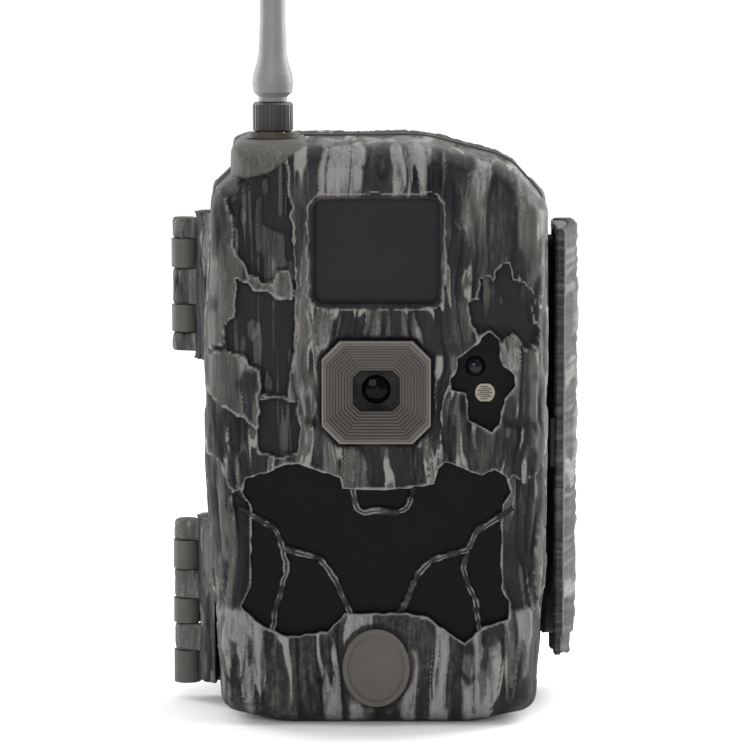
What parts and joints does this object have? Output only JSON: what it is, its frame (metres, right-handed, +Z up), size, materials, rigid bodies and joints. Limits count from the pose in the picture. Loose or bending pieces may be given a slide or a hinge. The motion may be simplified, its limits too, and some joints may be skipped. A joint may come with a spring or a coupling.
{
  "type": "trail camera",
  "caption": "Bark-textured trail camera: hinged weatherproof case with lens, motion window, infrared window, side latch, battery drawer, tree bracket and screw-on antenna.",
  "frame": {"origin": "centre of the footprint, on the surface the camera stands on", "axes": "+Z up along the antenna, +X to the right seen from the front, the lens looks along -Y"},
  "size_m": [0.1028, 0.076, 0.282],
  "materials": {
    "bark_plastic": "moulded bark relief, painted in dark brown and taupe",
    "plain_plastic": "fine matt moulding",
    "black_plastic": "fine matt moulding",
    "black_window": "polished, nearly opaque",
    "motion_window": "satin, ribbed on the inside",
    "clear_glass": "coated",
    "clear_cover": "clear",
    "board": "solder mask",
    "chip_black": "moulded",
    "display_glass": "polished",
    "led_epoxy": "clear epoxy",
    "dome_black": "polished",
    "sensor_ceramic": "coated",
    "steel": "zinc plated",
    "black_steel": "blackened",
    "brass": "bare",
    "gold": "plated",
    "rubber": "matt",
    "antenna_plastic": "matt",
    "button_plastic": "satin",
    "cell_jacket": "printed film with no lettering",
    "card_plastic": "moulded"
  },
  "bodies": {
    "rear_case": {"rear_shell": "bark_plastic", "hinge_pins": "steel", "latch_pin": "steel", "case_gasket": "rubber", "tree_bracket": "plain_plastic", "bracket_screws": "black_steel", "tripod_insert": "brass", "bay_divider": "black_plastic", "divider_screws": "steel", "bay_contacts": "brass", "power_pins": "gold", "dc_jack": "black_plastic"},
    "front_case": {"front_shell": "bark_plastic", "badge": "plain_plastic", "lens_bezel": "plain_plastic", "lens_barrel": "black_plastic", "lens_glass": "clear_glass", "image_sensor": "board", "ir_cut_housing": "black_plastic", "pir_window": "motion_window", "pir_housing": "black_plastic", "pir_sensor": "steel", "ir_window": "black_window", "ir_led_board": "board", "ir_leds": "led_epoxy", "board_spacers": "brass", "sensor_window": "black_window", "status_led": "dome_black", "light_sensor": "sensor_ceramic", "main_board": "board", "board_screws": "steel", "display": "display_glass", "display_cover": "clear_cover", "inner_panel": "black_plastic", "panel_screws": "steel", "panel_switches": "chip_black", "card_readers": "steel", "speaker": "chip_black", "contact_pads": "gold", "antenna_socket": "plain_plastic", "antenna_connector": "gold"},
    "battery_drawer": {"drawer_tray": "black_plastic", "drawer_seal": "rubber", "battery_cells": "cell_jacket", "cell_springs": "steel", "cell_contacts": "steel"},
    "latch": {"latch_lever": "bark_plastic"},
    "plug": {"jack_plug": "rubber"},
    "antenna": {"antenna_whip": "antenna_plastic"},
    "nut": {"antenna_nut": "antenna_plastic"},
    "infrared_filter": {"ir_cut_filter": "clear_glass"},
    "power_slider": {"power_knob": "button_plastic"},
    "memory_card": {"sd_card": "card_plastic"},
    "network_card": {"sim_card": "card_plastic"},
    "key_up": {"button_up": "button_plastic"},
    "key_down": {"button_down": "button_plastic"},
    "key_left": {"button_left": "button_plastic"},
    "key_right": {"button_right": "button_plastic"},
    "key_ok": {"button_ok": "button_plastic"}
  },
  "joints": [
    {"name": "case_hinge", "type": "hinge", "parent": "rear_case", "child": "front_case", "pos_m": [-0.048, -0.002, 0.07], "axis": [0, 0, -1], "range_deg": [0, 150]},
    {"name": "latch_hinge", "type": "hinge", "parent": "rear_case", "child": "latch", "pos_m": [0.0474, 0.013, 0.068], "axis": [0, 0, 1], "range_deg": [0, 100]},
    {"name": "battery_slide", "type": "slide", "parent": "rear_case", "child": "battery_drawer", "axis": [0, 0, -1], "range_m": [0, 0.125]},
    {"name": "plug_pull", "type": "slide", "parent": "rear_case", "child": "plug", "axis": [0, 0, -1], "range_m": [0, 0.014]},
    {"name": "antenna_lift", "type": "slide", "parent": "front_case", "child": "antenna", "axis": [0, 0, 1], "range_m": [0, 0.00706]},
    {"name": "nut_turn", "type": "hinge", "parent": "antenna", "child": "nut", "pos_m": [-0.0255, -0.014, 0.148], "axis": [0, 0, 1], "range_deg": [0, 3600]},
    {"name": "filter_slide", "type": "slide", "parent": "front_case", "child": "infrared_filter", "axis": [-1, 0, 0], "range_m": [0, 0.009]},
    {"name": "power_slide", "type": "slide", "parent": "front_case", "child": "power_slider", "axis": [1, 0, 0], "range_m": [-0.002, 0.002]},
    {"name": "memory_card_slide", "type": "slide", "parent": "front_case", "child": "memory_card", "axis": [0, 0, -1], "range_m": [-0.001, 0.005]},
    {"name": "network_card_slide", "type": "slide", "parent": "front_case", "child": "network_card", "axis": [0, 0, -1], "range_m": [-0.001, 0.005]},
    {"name": "up_press", "type": "slide", "parent": "front_case", "child": "key_up", "axis": [0, -1, 0], "range_m": [0, 0.0005], "stiffness_N_per_m": 2000, "springref_m": -0.0002},
    {"name": "down_press", "type": "slide", "parent": "front_case", "child": "key_down", "axis": [0, -1, 0], "range_m": [0, 0.0005], "stiffness_N_per_m": 2000, "springref_m": -0.0002},
    {"name": "left_press", "type": "slide", "parent": "front_case", "child": "key_left", "axis": [0, -1, 0], "range_m": [0, 0.0005], "stiffness_N_per_m": 2000, "springref_m": -0.0002},
    {"name": "right_press", "type": "slide", "parent": "front_case", "child": "key_right", "axis": [0, -1, 0], "range_m": [0, 0.0005], "stiffness_N_per_m": 2000, "springref_m": -0.0002},
    {"name": "ok_press", "type": "slide", "parent": "front_case", "child": "key_ok", "axis": [0, -1, 0], "range_m": [0, 0.0005], "stiffness_N_per_m": 2000, "springref_m": -0.0002}
  ],
  "couplings": [
    {"joint": "nut_turn", "follows": "antenna_lift", "rad_per_m": 8899.7}
  ]
}
